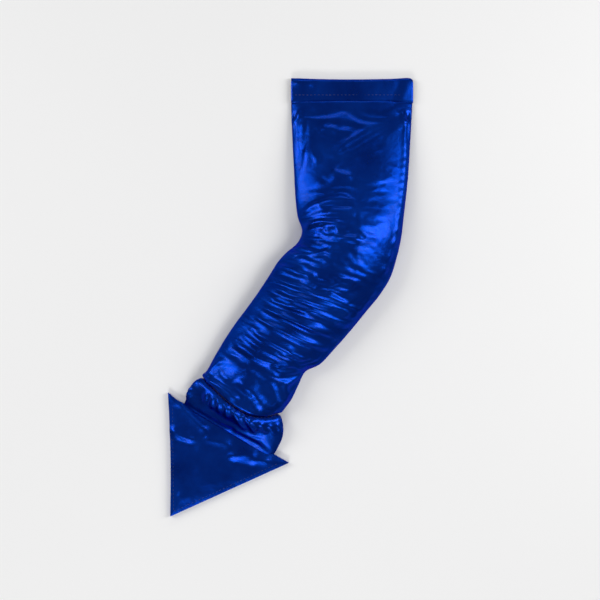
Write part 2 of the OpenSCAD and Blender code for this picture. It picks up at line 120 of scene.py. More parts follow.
# Folds of the cloth over the front: (height, half width, points along it); a crease has a minus height
TUBE_FOLDS = (
    # upper tube: soft dents and a few short folds
    (-2.5, 12, ((72, 250), (68, 215), (63, 175))),
    (1.5, 9, ((42, 240), (40, 205), (36, 178))),
    (1.3, 5, ((94, 204), (102, 192), (117, 186))),
    (1.6, 8, ((140, 262), (128, 236), (112, 208), (100, 190))),
    (-1.6, 6, ((148, 246), (138, 222), (124, 196))),
    (2.2, 3.2, ((153, 240), (149.5, 205), (146.5, 160), (143, 125), (140, 103), (136, 76), (129, 53), (108, 8),
                (90, -17), (70, -39), (48, -64))),
    (1.6, 4.5, ((40, 222), (52, 217), (64, 215))),
    (1.1, 4, ((12, 226), (20, 223), (30, 223))),
    (2.4, 8, ((14, 190), (28, 184), (40, 172))),
    (-1.6, 7, ((74, 236), (72, 205), (62, 172))),
    (-1.4, 8, ((132, 240), (122, 214), (104, 184))),
    (1.8, 6, ((50, 161), (64, 158), (80, 151))),
    (-2.0, 4, ((34, 159), (45, 149), (62, 145), (88, 149))),
    (-2.2, 4, ((8, 139), (58, 140), (103, 142), (130, 149), (146, 160))),
    (2.4, 3.6, ((17, 113), (45, 123), (74, 124), (88, 119))),
    (-2.8, 3.4, ((34, 114), (62, 117), (84, 116))),
    (1.6, 3, ((12, 108), (30, 112), (50, 113))),
    (1.5, 2.6, ((14, 101), (34, 105), (60, 107), (92, 104))),
    (-1.5, 2.8, ((14, 98), (38, 101), (66, 101))),
    # the knot of folds above the inner elbow
    (2.4, 3, ((16, 88), (32, 95), (58, 95), (68, 90))),
    (2.0, 2.6, ((41, 83), (51, 90), (61, 84), (55, 76))),
    (-2.6, 3, ((24, 84), (42, 74), (68, 68), (92, 64))),
    (1.8, 3.2, ((60, 72), (76, 74), (94, 70))),
    (-2.4, 3.4, ((70, 84), (86, 80), (98, 72))),
    # inner elbow
    (1.8, 2.6, ((6, 68), (20, 61), (34, 55))),
    (1.6, 2.4, ((-2, 60), (12, 52), (24, 45))),
    (-4.5, 5, ((4, 47), (20, 40), (40, 34), (64, 30), (88, 21), (112, 13))),
    (3.0, 4.5, ((-6, 44), (16, 32), (45, 27), (72, 21), (96, 8))),
    # shank: long folds across the tube, closing up towards the notch on its right
    (2.2, 2.8, ((-14, 42), (2, 34), (14, 27))),
    (3.4, 3.4, ((-26, 30), (-1, 16), (26, 8), (58, -3), (94, -19))),
    (-2.6, 3.2, ((-24, 20), (4, 9), (34, 0), (66, -12), (88, -24))),
    (3.2, 3.2, ((-30, 20), (0, 3), (32, -6), (64, -18), (86, -31))),
    (-2.4, 3.2, ((-26, 10), (8, -6), (44, -18), (78, -34))),
    (3.2, 3.2, ((-38, 8), (-8, -8), (24, -18), (52, -28), (76, -41))),
    (-2.4, 3.2, ((-34, -2), (-2, -18), (30, -29), (62, -45))),
    (3.0, 3.2, ((-46, -6), (-14, -22), (16, -34), (44, -45), (66, -55))),
    (-2.2, 3, ((-40, -16), (-8, -34), (22, -47), (50, -61))),
    (2.8, 3, ((-54, -20), (-24, -36), (4, -50), (32, -62), (52, -70))),
    (-2.2, 3, ((-46, -30), (-16, -48), (10, -62), (34, -73))),
    (2.8, 3, ((-62, -32), (-34, -50), (-6, -66), (20, -79), (38, -82))),
    (2.4, 3, ((-68, -44), (-42, -62), (-16, -77), (8, -88))),
    (3.0, 5, ((-76, -56), (-48, -74), (-14, -90))),
    (-4.0, 4.5, ((-34, -88), (-4, -90), (16, -97))),
    (2.2, 4, ((-84, -68), (-58, -85), (-36, -99))),
    (-2.2, 4, ((-66, -84), (-48, -98), (-34, -116))),
    (3.6, 5, ((-70, -104), (-50, -122), (-26, -150))),
    (3.2, 5, ((-12, -104), (-5, -121), (-9, -141))),
    (-2.6, 4, ((-28, -106), (-20, -124), (-16, -146))),
    (2.4, 6, ((-92, -76), (-88, -98), (-76, -112))),
    (3.2, 3.2, ((-118, -107), (-104, -109), (-84, -120), (-64, -137))),
    (2.0, 2.4, ((-60, -144), (-42, -154), (-24, -160))),
)

# Gathers below the neck seam, and the cuff's own folds
CUFF_FOLDS = (
    (-2.0, 2.8, ((-86, -167.5), (-60, -182.5), (-30, -200))),
    (2.4, 5, ((-132, -116), (-134, -124), (-130, -132))),
    (2.2, 3.0, ((-108, -122), (-111, -138))),
    (2.6, 2.8, ((-100, -127), (-102, -145))),
    (2.6, 2.6, ((-92, -132), (-92, -150))),
    (3.2, 2.8, ((-82, -137), (-82, -157))),
    (3.4, 3.2, ((-74, -142), (-69, -156), (-56, -174))),
    (2.8, 3.0, ((-62, -150), (-54, -163), (-44, -178))),
    (2.4, 3.0, ((-51, -157), (-41, -173))),
    (2.2, 3.0, ((-40, -162), (-30, -177))),
    (2.0, 3.0, ((-28, -164), (-20, -180))),
    (1.8, 3.0, ((-18, -163), (-12, -176))),
    (1.6, 3.0, ((-78, -172), (-56, -180), (-36, -188))),
)
# Folds of the casing's front
CASING_FOLDS = (
    (0.8, 6, ((155, 284), (149, 268), (140, 250))),
    (-0.7, 6, ((146, 288), (139, 270), (130, 250))),
    (1.5, 5, ((4, 281), (16, 277), (30, 276))),
    (-0.6, 7, ((40, 284), (62, 272), (76, 250))),
    (0.5, 9, ((88, 284), (92, 268), (90, 250))),
)
# The arrow's outline and thickness, and folds of its front
LEFT_BARB = np.array((-160.2, -125.2))
RIGHT_BARB = np.array((-2.4, -217.0))
ARROW_TIP = np.array((-157.2, -287.0))
BARB_HOLLOW = np.array((0.503, 0.864)) * 2.5   # how far the base curves in beside the left barb
LEFT_EDGE_HOLLOW = np.array((1.8, 0))          # how far the left edge curves in
ARROW_RIM = 6.5                                # thickness at the edge
ARROW_SWELL = 2.8                              # and how much more in the middle
ARROW_SWELL_RUN = 9                            # the distance in which most of that is gained
ARROW_CELLS = 56                               # rows of faces each way
ARROW_FOLDS = (
    (3.2, 6, ((-150, -136), (-134, -152), (-118, -168), (-106, -178))),
    (-1.2, 5, ((-142, -136), (-122, -152), (-104, -168))),
    (2.9, 4.2, ((-158, -172), (-144, -180), (-124, -187))),
    (-1.2, 5, ((-152, -186), (-138, -192), (-118, -194))),
    (2.2, 6, ((-116, -184), (-94, -188), (-76, -194))),
    (2.6, 6, ((-84, -208), (-60, -205), (-42, -207))),
    (2.2, 5, ((-56, -214), (-40, -212), (-26, -215))),
    (-1.4, 6, ((-84, -214), (-60, -220), (-44, -222))),
    (1.0, 9, ((-128, -226), (-110, -240), (-92, -246))),
    (1.0, 6, ((-150, -258), (-138, -262), (-128, -258))),
)

# Shape of the tube's section
CROWN = 2.15          # how flat the front panel's bow is between its two side seams
THIN_CROWN = 5        # how much flatter it is where the tube is thin
SHOULDER = 0.95       # how round it turns in at the seams
BELLY = 3.4           # roundness of the back panel, which lies flat
WIDEST = 0.46         # the level of the side seams, as a share of the height

# How the tube's cloth settles
FOLD_STRENGTH = 1.3   # height of the tube's drawn folds, before it settles
SLACK_SHARE = 0.3     # how much of the outer side's extra length each ring step is cut with
GIRTH_PULL = 0.01     # how much the stuffing stretches the cloth round the tube
CORE_DEPTH = 3.0      # how deep the firm filling starts, in millimetres
BENDING = 0.2         # stiffness of the cloth against bending
LIMIT = 9             # how far a point may move, in millimetres
SEWN_AT_TOP = 5       # rings of points held at the casing's seam
CUFF_STEP = 1.7       # distance between the cuff's rings, in millimetres

# The casing
CASING_RINGS = 49     # rings of points along it
CASING_HALF = 4.5     # half its thickness at the stitches, in millimetres
CASING_TURN = 0.86    # where its walls start to round over at the fold, as a share of its depth
END_THINNING = 0.35   # how much thinner it is at its two ends


# ---- Drawing smooth shapes through chosen points ----

def smooth_curve(points, count):
    """count points, evenly spaced, on a smooth curve through the given ones."""
    p = np.asarray(points, float)
    if len(p) == 2:
        return p[0] + (p[1] - p[0]) * np.linspace(0, 1, count)[:, None]
    knots = run_along(p[:, :2])
    return hermite(knots, p, np.linspace(0, knots[-1], count))


def run_along(points):
    """How far each point lies along a line through them all."""
    return np.concatenate([[0], np.cumsum(np.linalg.norm(np.diff(points, axis=0), axis=1))])


def hermite(knots, values, at):
    """Values at parameters, smoothly through those given at the knots."""
    slopes = np.gradient(values, knots, axis=0)
    i = np.clip(np.searchsorted(knots, at, side="right") - 1, 0, len(knots) - 2)
    span = knots[i + 1] - knots[i]
    t = ((at - knots[i]) / span)[:, None]
    span = span[:, None]
    return (
        (2 * t**3 - 3 * t**2 + 1) * values[i]
        + (t**3 - 2 * t**2 + t) * span * slopes[i]
        + (3 * t**2 - 2 * t**3) * values[i + 1]
        + (t**3 - t**2) * span * slopes[i + 1]
    )


def smoothstep(low, high, x):
    """0 below low, 1 above high, and smooth between."""
    t = np.clip((x - low) / (high - low), 0, 1)
    return t * t * (3 - 2 * t)


def ribs_along(ribs, step):
    """The ribs' left ends, right ends and heights at even steps along the middle, in millimetres."""
    rows = np.array([[*left, *right, height] for left, right, height in ribs], float)
    middle = (rows[:, 0:2] + rows[:, 2:4]) / 2
    knots = run_along(middle)
    count = max(3, int(round(knots[-1] / step)) + 1)
    at = np.linspace(0, knots[-1], count)
    return hermite(knots, rows, at), at


def section(rib, points, inset=0.0):
    """Evenly spaced points round one rib's section, from its right edge over the top, in millimetres."""
    left, right, height = rib[0:2], rib[2:4], rib[4]
    angle = np.linspace(0, 2 * math.pi, 361)
    cos, sin = np.cos(angle), np.sin(angle)
    half = np.linalg.norm(right - left) / 2 - inset
    widest = WIDEST * height
    across = np.where(sin >= 0, cos, np.sign(cos) * np.abs(cos) ** (2 / BELLY))
    crown = CROWN + THIN_CROWN * (1 - smoothstep(9, 30, height))
    bow = (1 - np.abs(cos) ** crown) ** SHOULDER * (height - widest - inset)
    z = widest + np.where(sin >= 0, bow, -(widest - inset) * np.abs(sin) ** (2 / BELLY))
    direction = (right - left) / np.linalg.norm(right - left)
    flat = (left + right) / 2 + direction * (half * across)[:, None]
    dense = np.column_stack([flat, z])
    run = run_along(dense)
    at = np.linspace(0, run[-1], points + 1)[:-1]
    return np.column_stack([np.interp(at, run, dense[:, k]) for k in range(3)]), run[-1]


def raise_folds(points, normals, folds, strength=1.0):
    """Moves front points, in millimetres, along their normals by the height of each fold near them."""
    lift = np.zeros(len(points))
    for height, half_width, through in folds:
        line = smooth_curve(through, 60)
        away = np.linalg.norm(points[:, None, :2] - line[None, :, :2], axis=2)
        nearest = away.argmin(axis=1)
        along = nearest / (len(line) - 1)
        taper = smoothstep(0, 0.22, along) * smoothstep(0, 0.22, 1 - along)
        lift += height * (0.12 + 0.88 * taper) * np.exp(-((away.min(axis=1) / half_width) ** 1.6))
    front = smoothstep(0.0, 0.35, normals[:, 2])
    return points + normals * (strength * lift * front)[:, None]


def bow_neck(points):
    """Bows the front towards the arrow round the neck seam, as the stuffing pushes it; points in millimetres."""
    across = NECK[1] - NECK[0]
    width = np.linalg.norm(across)
    across = across / width
    towards = np.array((across[1], -across[0]))
    place = points[:, :2] - NECK[0]
    u = np.clip(2 * (place @ across) / width - 1, -1, 1)
    past = place @ towards
    share = smoothstep(-55, 0, past) * (1 - smoothstep(0, 42, past)) * smoothstep(8, 26, points[:, 2])
    moved = points.copy()
    moved[:, :2] += towards * (NECK_BOW * (1 - u**2) * (1 + 0.5 * u) * share)[:, None]
    return moved


def paint(obj, name, values):
    """Keeps one value per point on the mesh, for its material."""
    layer = obj.data.attributes.new(name, "FLOAT", "POINT")
    layer.data.foreach_set("value", np.asarray(values, np.float32))


# ---- Meshes ----

def loft(name, rings, girths, closed_ends=True):
    """A tube mesh through rings of points in millimetres, with a UV map in metres of cloth."""
    count = len(rings[0])
    bm = bmesh.new()
    ring = bmesh.ops.create_circle(bm, cap_ends=False, segments=count, radius=1)["verts"]
    place_ring(ring, rings[0])
    edges = list(bm.edges)
    first_edges = list(edges)
    index = {v: (0, j) for j, v in enumerate(ring)}
    for i in range(1, len(rings)):
        made = bmesh.ops.extrude_edge_only(bm, edges=edges)["geom"]
        edges = [e for e in made if isinstance(e, bmesh.types.BMEdge)
                 and not any(v in index for v in e.verts)]
        new_ring = [None] * count
        for v in (g for g in made if isinstance(g, bmesh.types.BMVert)):
            old = next(e.other_vert(v) for e in v.link_edges if e.other_vert(v) in index)
            new_ring[index[old][1]] = v
        for j, v in enumerate(new_ring):
            index[v] = (i, j)
        place_ring(new_ring, rings[i])
    walls = list(bm.faces)
    uv = bm.loops.layers.uv.new("Cloth")
    for face in walls:
        columns = [index[loop.vert][1] for loop in face.loops]
        wraps = max(columns) - min(columns) > 1
        for loop in face.loops:
            i, j = index[loop.vert]
            turn = count if wraps and j == 0 else j
            loop[uv].uv = (girths[i] * turn / count * MM, along_of(rings, i) * MM)
    if closed_ends:
        bmesh.ops.contextual_create(bm, geom=first_edges)
        bmesh.ops.contextual_create(bm, geom=edges)
    order = sorted(bm.verts, key=lambda v: index[v])
    for n, v in enumerate(order):
        v.index = n
    bm.verts.sort()
    bmesh.ops.recalc_face_normals(bm, faces=list(bm.faces))
    return finish_mesh(name, bm)


def along_of(rings, i):
    """How far ring i lies along the tube, measured over the middle of its front, in millimetres."""
    top = len(rings[0]) // 4
    line = np.array([ring[top] for ring in rings[: i + 1]])
    return float(np.linalg.norm(np.diff(line, axis=0), axis=1).sum()) if i else 0.0


def place_ring(verts, points):
    for v, p in zip(verts, points):
        v.co = Vector(p) * MM


def finish_mesh(name, bm, smooth=True):
    """Turns a bmesh into a linked object with smooth faces."""
    mesh = bpy.data.meshes.new(name)
    bm.to_mesh(mesh)
    bm.free()
    if smooth:
        mesh.shade_smooth()
    obj = bpy.data.objects.new(name, mesh)
    bpy.context.scene.collection.objects.link(obj)
    return obj


def coordinates(obj, evaluated=False):
    """The object's points as an array, in metres."""
    if evaluated:
        shown = obj.evaluated_get(bpy.context.evaluated_depsgraph_get())
        mesh = shown.to_mesh()
        out = np.array([v.co for v in mesh.vertices], float)
        shown.to_mesh_clear()
        return out
    return np.array([v.co for v in obj.data.vertices], float)


def set_coordinates(obj, points):
    obj.data.vertices.foreach_set("co", np.asarray(points, np.float32).ravel())
    obj.data.update()


def normals_of(obj):
    return np.array([v.normal for v in obj.data.vertices], float)


# ---- Cloth simulation ----

def drape(obj, cut, sewn, colliders, frames):
    """Lets a cloth piece settle from its present shape towards the lengths of its cut, then keeps the result.
    cut holds each point's place in the unwrinkled cloth, and sewn the points that stay."""
    scene = bpy.context.scene
    before = coordinates(obj)
    obj.shape_key_add(name="Basis")
    key = obj.shape_key_add(name="Cut")
    key.data.foreach_set("co", np.asarray(cut, np.float32).ravel())
    key.value = 0
    group = obj.vertex_groups.new(name="sewn")
    group.add([int(i) for i in sewn], 1.0, "REPLACE")
    for other in colliders:
        hit = other.modifiers.new("Collision", "COLLISION")
        hit.settings.thickness_outer = 0.0006
        hit.settings.cloth_friction = 3
    cloth = obj.modifiers.new("Cloth", "CLOTH")
    settings = cloth.settings
    settings.quality = 7
    settings.mass = 0.15
    settings.tension_stiffness = 25
    settings.compression_stiffness = 25
    settings.shear_stiffness = 8
    settings.bending_stiffness = BENDING
    settings.tension_damping = 8
    settings.compression_damping = 8
    settings.shear_damping = 8
    settings.bending_damping = 1
    settings.air_damping = 3
    settings.effector_weights.gravity = 0
    settings.vertex_group_mass = group.name
    settings.rest_shape_key = key
    touch = cloth.collision_settings
    touch.collision_quality = 3
    touch.distance_min = 0.0008
    touch.use_self_collision = True
    touch.self_distance_min = 0.0012
    touch.self_friction = 2
    scene.frame_start, scene.frame_end = 1, frames
    cloth.point_cache.frame_start, cloth.point_cache.frame_end = 1, frames
    for number in range(1, frames + 1):
        scene.frame_set(number)
    after = coordinates(obj, evaluated=True)
    obj.modifiers.remove(cloth)
    obj.shape_key_clear()
    for other in colliders:
        bpy.data.objects.remove(other)
    scene.frame_set(1)
    move = after - before
    length = np.linalg.norm(move, axis=1, keepdims=True)
    move *= np.minimum(1, LIMIT * MM / np.maximum(length, 1e-9))
    set_coordinates(obj, before + move)


def floor_under_cloth():
    """A sheet that stops cloth at the surface the tail lies on."""
    bm = bmesh.new()
    bmesh.ops.create_grid(bm, x_segments=1, y_segments=1, size=0.5)
    return finish_mesh("cloth_floor", bm, smooth=False)


# ---- Materials ----

def new_group(name, inputs, outputs):
    """An empty shader node group with float inputs (name, default) and float outputs."""
    tree = bpy.data.node_groups.new(name, "ShaderNodeTree")
    tree.interface.new_socket(name="Vector", in_out="INPUT", socket_type="NodeSocketVector")
    for label, default in inputs:
        socket = tree.interface.new_socket(name=label, in_out="INPUT", socket_type="NodeSocketFloat")
        socket.default_value = default
    for label in outputs:
        tree.interface.new_socket(name=label, in_out="OUTPUT", socket_type="NodeSocketFloat")
    return tree, tree.nodes.new("NodeGroupInput"), tree.nodes.new("NodeGroupOutput")


def math_node(tree, operation, first, second=None, third=None):
    """A Math node; each value is a number or a socket."""
    node = tree.nodes.new("ShaderNodeMath")
    node.operation = operation
    for socket, value in zip(node.inputs, (first, second, third)):
        if value is None:
            continue
        if isinstance(value, bpy.types.NodeSocket):
            tree.links.new(value, socket)
        else:
            socket.default_value = value
    return node.outputs[0]


def scaled_vector(tree, vector, scale):
    """The vector times a scale socket or number."""
    node = tree.nodes.new("ShaderNodeVectorMath")
    node.operation = "SCALE"
    tree.links.new(vector, node.inputs[0])
    if isinstance(scale, bpy.types.NodeSocket):
        tree.links.new(scale, node.inputs["Scale"])
    else:
        node.inputs["Scale"].default_value = scale
    return node.outputs[0]


def set_inputs(node, **values):
    """Sets a node's inputs by name, with _ for a space."""
    for label, value in values.items():
        node.inputs[label.replace("_", " ")].default_value = value


def noise_of(tree, vector, detail, roughness=0.5, distortion=0.0):
    node = tree.nodes.new("ShaderNodeTexNoise")
    set_inputs(node, Scale=1, Detail=detail, Roughness=roughness, Distortion=distortion)
    tree.links.new(vector, node.inputs["Vector"])
    return node.outputs["Fac"]


def per_size(tree, given, size):
    """A group's vector divided by one of its sizes."""
    return scaled_vector(tree, given.outputs["Vector"], math_node(tree, "DIVIDE", 1, given.outputs[size]))


def crumple_group():
    """Soft dents and sharp little creases of foil-faced cloth; sizes in metres."""
    tree, given, out = new_group(
        "Foil Crumple", (("Dent Size", 0.03), ("Crease Size", 0.012)), ("Dents", "Creases"))
    dents = noise_of(tree, per_size(tree, given, "Dent Size"), 2, 0.45, 0.6)
    fine = noise_of(tree, per_size(tree, given, "Crease Size"), 3, 0.55, 0.8)
    ridge = math_node(tree, "ABSOLUTE", math_node(tree, "SUBTRACT", fine, 0.5))
    tree.links.new(dents, out.inputs["Dents"])
    tree.links.new(math_node(tree, "POWER", math_node(tree, "MULTIPLY", ridge, 2), 0.7), out.inputs["Creases"])
    return tree


def gathers_group():
    """Close little folds of gathered cloth; sizes in metres, along and across each fold."""
    tree, given, out = new_group("Cloth Gathers", (("Fold Length", 0.05), ("Fold Width", 0.007)), ("Folds",))
    parts = tree.nodes.new("ShaderNodeSeparateXYZ")
    tree.links.new(given.outputs["Vector"], parts.inputs[0])
    joined = tree.nodes.new("ShaderNodeCombineXYZ")
    tree.links.new(math_node(tree, "DIVIDE", parts.outputs["X"], given.outputs["Fold Length"]), joined.inputs["X"])
    tree.links.new(math_node(tree, "DIVIDE", parts.outputs["Y"], given.outputs["Fold Width"]), joined.inputs["Y"])
    tree.links.new(noise_of(tree, joined.outputs[0], 1.2, 0.4, 0.25), out.inputs["Folds"])
    return tree


def weave_group():
    """A plain weave of threads at a pitch in metres."""
    tree, given, out = new_group("Plain Weave", (("Pitch", 0.0006),), ("Threads",))
    parts = tree.nodes.new("ShaderNodeSeparateXYZ")
    tree.links.new(scaled_vector(
        tree, given.outputs["Vector"], math_node(tree, "DIVIDE", math.pi, given.outputs["Pitch"])), parts.inputs[0])
    across = math_node(tree, "SINE", parts.outputs["X"])
    along = math_node(tree, "SINE", parts.outputs["Y"])
    tree.links.new(math_node(tree, "MULTIPLY", across, along), out.inputs["Threads"])
    return tree


def wear_group():
    """A slow unevenness of colour and finish, from 0 to 1, over a size in metres."""
    tree, given, out = new_group("Uneven Finish", (("Size", 0.04),), ("Amount",))
    slow = noise_of(tree, per_size(tree, given, "Size"), 4, 0.6)
    ramp = tree.nodes.new("ShaderNodeMapRange")
    set_inputs(ramp, From_Min=0.3, From_Max=0.7)
    tree.links.new(slow, ramp.inputs["Value"])
    tree.links.new(ramp.outputs["Result"], out.inputs["Amount"])
    return tree


def group_node(tree, group, vector, **values):
    node = tree.nodes.new("ShaderNodeGroup")
    node.node_tree = group
    tree.links.new(vector, node.inputs["Vector"])
    set_inputs(node, **values)
    return node


def new_material(name, uses_uv=False):
    """A material with its Principled shader and the vector its patterns follow, in metres."""
    material = bpy.data.materials.new(name)
    material.use_nodes = True
    tree = material.node_tree
    shader = tree.nodes["Principled BSDF"]
    coordinate = tree.nodes.new("ShaderNodeTexCoord")
    return material, tree, shader, coordinate.outputs["UV" if uses_uv else "Object"]


def colour_between(tree, amount, first, second):
    """A colour that runs from the first to the second with the amount."""
    mix = tree.nodes.new("ShaderNodeMix")
    mix.data_type = "RGBA"
    tree.links.new(amount, mix.inputs["Factor"])
    mix.inputs[6].default_value = (*first, 1)
    mix.inputs[7].default_value = (*second, 1)
    return mix.outputs[2]


def value_between(tree, amount, first, second):
    ramp = tree.nodes.new("ShaderNodeMapRange")
    set_inputs(ramp, To_Min=first, To_Max=second)
    tree.links.new(amount, ramp.inputs["Value"])
    return ramp.outputs["Result"]


def finish_between(tree, shader, amount, colours, roughness):
    """Runs the shader's colour and roughness between two values each, with the amount."""
    tree.links.new(colour_between(tree, amount, *colours), shader.inputs["Base Color"])
    tree.links.new(value_between(tree, amount, *roughness), shader.inputs["Roughness"])


def bump(tree, shader, heights):
    """Chains Bump nodes from (height socket, distance in metres, strength) into the shader's normal."""
    normal = None
    for height, distance, strength in heights:
        node = tree.nodes.new("ShaderNodeBump")
        set_inputs(node, Distance=distance, Strength=strength)
        tree.links.new(height, node.inputs["Height"])
        if normal is not None:
            tree.links.new(normal, node.inputs["Normal"])
        normal = node.outputs["Normal"]
    tree.links.new(normal, shader.inputs["Normal"])


def lame_material(name, cloth, groups, fold_length, fold_width):
    """Blue foil-faced cloth: a metallic film on a fine weave, dented, creased and gathered."""
    material, tree, shader, vector = new_material(name, uses_uv=True)
    crumple = group_node(tree, groups["crumple"], vector, Dent_Size=0.034, Crease_Size=0.015)
    weave = group_node(tree, groups["weave"], vector, Pitch=0.0007)
    uneven = group_node(tree, groups["wear"], vector, Size=0.05)
    finish_between(tree, shader, uneven.outputs["Amount"], (cloth.lame_deep, cloth.lame_light),
                   (cloth.sheen_low, cloth.sheen_high))
    set_inputs(shader, Metallic=1, Specular_Tint=(0.02, 0.15, 0.7, 1), Coat_Weight=0.05, Coat_Roughness=0.12)
    gathers = group_node(tree, groups["gathers"], vector, Fold_Length=fold_length, Fold_Width=fold_width)
    painted = tree.nodes.new("ShaderNodeAttribute")
    painted.attribute_name = "gather"
    folds = math_node(tree, "MULTIPLY", gathers.outputs["Folds"], painted.outputs["Fac"])
    bump(tree, shader, (
        (folds, 0.0055, cloth.gather_strength),
        (crumple.outputs["Dents"], 0.006, cloth.dent_strength),
        (crumple.outputs["Creases"], 0.0012, cloth.crease_strength),
        (weave.outputs["Threads"], 0.00006, 0.35),
    ))
    return material


def woven_material(name, groups, colour, other, pitch, roughness):
    """Plain woven cloth or tape."""
    material, tree, shader, vector = new_material(name)
    weave = group_node(tree, groups["weave"], vector, Pitch=pitch)
    uneven = group_node(tree, groups["wear"], vector, Size=0.02)
    finish_between(tree, shader, uneven.outputs["Amount"], (colour, other), (roughness - 0.08, roughness))
    shader.inputs["Sheen Weight"].default_value = 0.25
    bump(tree, shader, ((weave.outputs["Threads"], 0.0002, 0.6),))
    return material


def moulded_material(name, groups, colour, other, roughness, metallic=0.0, grain=0.0005):
    """Moulded plastic, board or drawn metal with a fine grain and handling marks."""
    material, tree, shader, vector = new_material(name)
    crumple = group_node(tree, groups["crumple"], vector, Dent_Size=0.004, Crease_Size=grain)
    uneven = group_node(tree, groups["wear"], vector, Size=0.015)
    finish_between(tree, shader, uneven.outputs["Amount"], (colour, other), (roughness, roughness + 0.15))
    shader.inputs["Metallic"].default_value = metallic
    bump(tree, shader, ((crumple.outputs["Creases"], 0.00008, 0.5),))
    return material


def wadding_material(groups):
    """Loose white polyester fibre."""
    material, tree, shader, vector = new_material("Wadding Fibre")
    crumple = group_node(tree, groups["crumple"], vector, Dent_Size=0.012, Crease_Size=0.0025)
    tree.links.new(colour_between(tree, crumple.outputs["Dents"], (0.86, 0.86, 0.84), (0.95, 0.95, 0.93)),
                   shader.inputs["Base Color"])
    tree.links.new(value_between(tree, crumple.outputs["Creases"], 0.85, 1.0), shader.inputs["Roughness"])
    shader.inputs["Sheen Weight"].default_value = 0.5
    bump(tree, shader, ((crumple.outputs["Creases"], 0.0015, 0.8),))
    return material


def dress(obj, name):
    """Gives a piece one material, by its name."""
    obj.data.materials.clear()
    obj.data.materials.append(bpy.data.materials[name])


def smooth_cloth(obj, levels):
    """Subdivides a cloth piece."""
    smooth = obj.modifiers.new("Smooth Cloth", "SUBSURF")
    smooth.levels = smooth.render_levels = levels


def thicken(obj, name, thickness):
    """Gives a single skin its cloth's thickness, inwards."""
    wall = obj.modifiers.new(name, "SOLIDIFY")
    wall.thickness = thickness
    wall.offset = -1


# ---- Settings ----

COLOUR = {"subtype": "COLOR", "size": 3, "min": 0, "max": 1}
SHARE = {"min": 0, "max": 1}


class TailCloth(bpy.types.PropertyGroup):
    """Colours and finish of the cloth."""
    lame_deep: FloatVectorProperty(
        name="Deep blue", description="Film colour where it is densest",
        default=(0.0008, 0.026, 0.28), **COLOUR)
    lame_light: FloatVectorProperty(
        name="Light blue", description="Film colour where it is worn",
        default=(0.0012, 0.041, 0.36), **COLOUR)
    sheen_low: FloatProperty(
        name="Least roughness", description="Roughness where the film is smooth", default=0.26, **SHARE)
    sheen_high: FloatProperty(
        name="Most roughness", description="Roughness where the film is crazed", default=0.38, **SHARE)
    dent_strength: FloatProperty(
        name="Dents", description="How strongly soft dents show", default=0.22, **SHARE)
    gather_strength: FloatProperty(
        name="Gathers", description="How strongly close gathered folds show", default=0.22, **SHARE)
    crease_strength: FloatProperty(
        name="Creases", description="How strongly little creases show", default=0.12, **SHARE)
    thread_colour: FloatVectorProperty(
        name="Thread", description="Colour of the stitching thread",
        default=(0.0015, 0.014, 0.11), **COLOUR)


class TailShape(bpy.types.PropertyGroup):
    """Sizes of the cloth pieces' meshes."""
    ring_step: FloatProperty(
        name="Ring step", description="Distance between rings of points along the tube, in millimetres",
        min=2, max=12, default=3.6)
    round_points: IntProperty(
        name="Points round", description="Points in each ring of the tube", min=32, max=200, default=96)
    slack: FloatProperty(
        name="Slack", description="How much longer the cut cloth is than the stuffed tube, as a share",
        min=0, max=0.5, default=0.12)
    frames: IntProperty(
        name="Settling", description="Steps the cloth is given to settle", min=1, max=60, default=24)
    smoothing: IntProperty(
        name="Smoothing", description="Subdivision levels of the cloth", min=0, max=2, default=1)
    settle: BoolProperty(
        name="Settle cloth", description="Let the cloth settle by simulation", default=True)


class TailStage(bpy.types.PropertyGroup):
    """Floor, light and camera."""
    floor_size: FloatProperty(
        name="Floor", description="Half the floor's width", unit="LENGTH", min=0.5, default=2.5)
    camera_height: FloatProperty(
        name="Camera height", description="Height of the camera over the floor", unit="LENGTH", min=0.8, default=1.9)
    view_width: FloatProperty(
        name="View width", description="Width that the camera takes in", unit="LENGTH", min=0.4, default=0.7765)
    view_x: FloatProperty(
        name="View centre X", description="Point under the camera", unit="LENGTH", default=0.0124)
    view_y: FloatProperty(
        name="View centre Y", description="Point under the camera", unit="LENGTH", default=-0.0039)


# ---- Pieces ----

def rings_of(ribs, step, count, inset=0.0):
    rows, at = ribs_along(ribs, step)
    made = [section(row, count, inset) for row in rows]
    return [m[0] for m in made], [m[1] for m in made], at


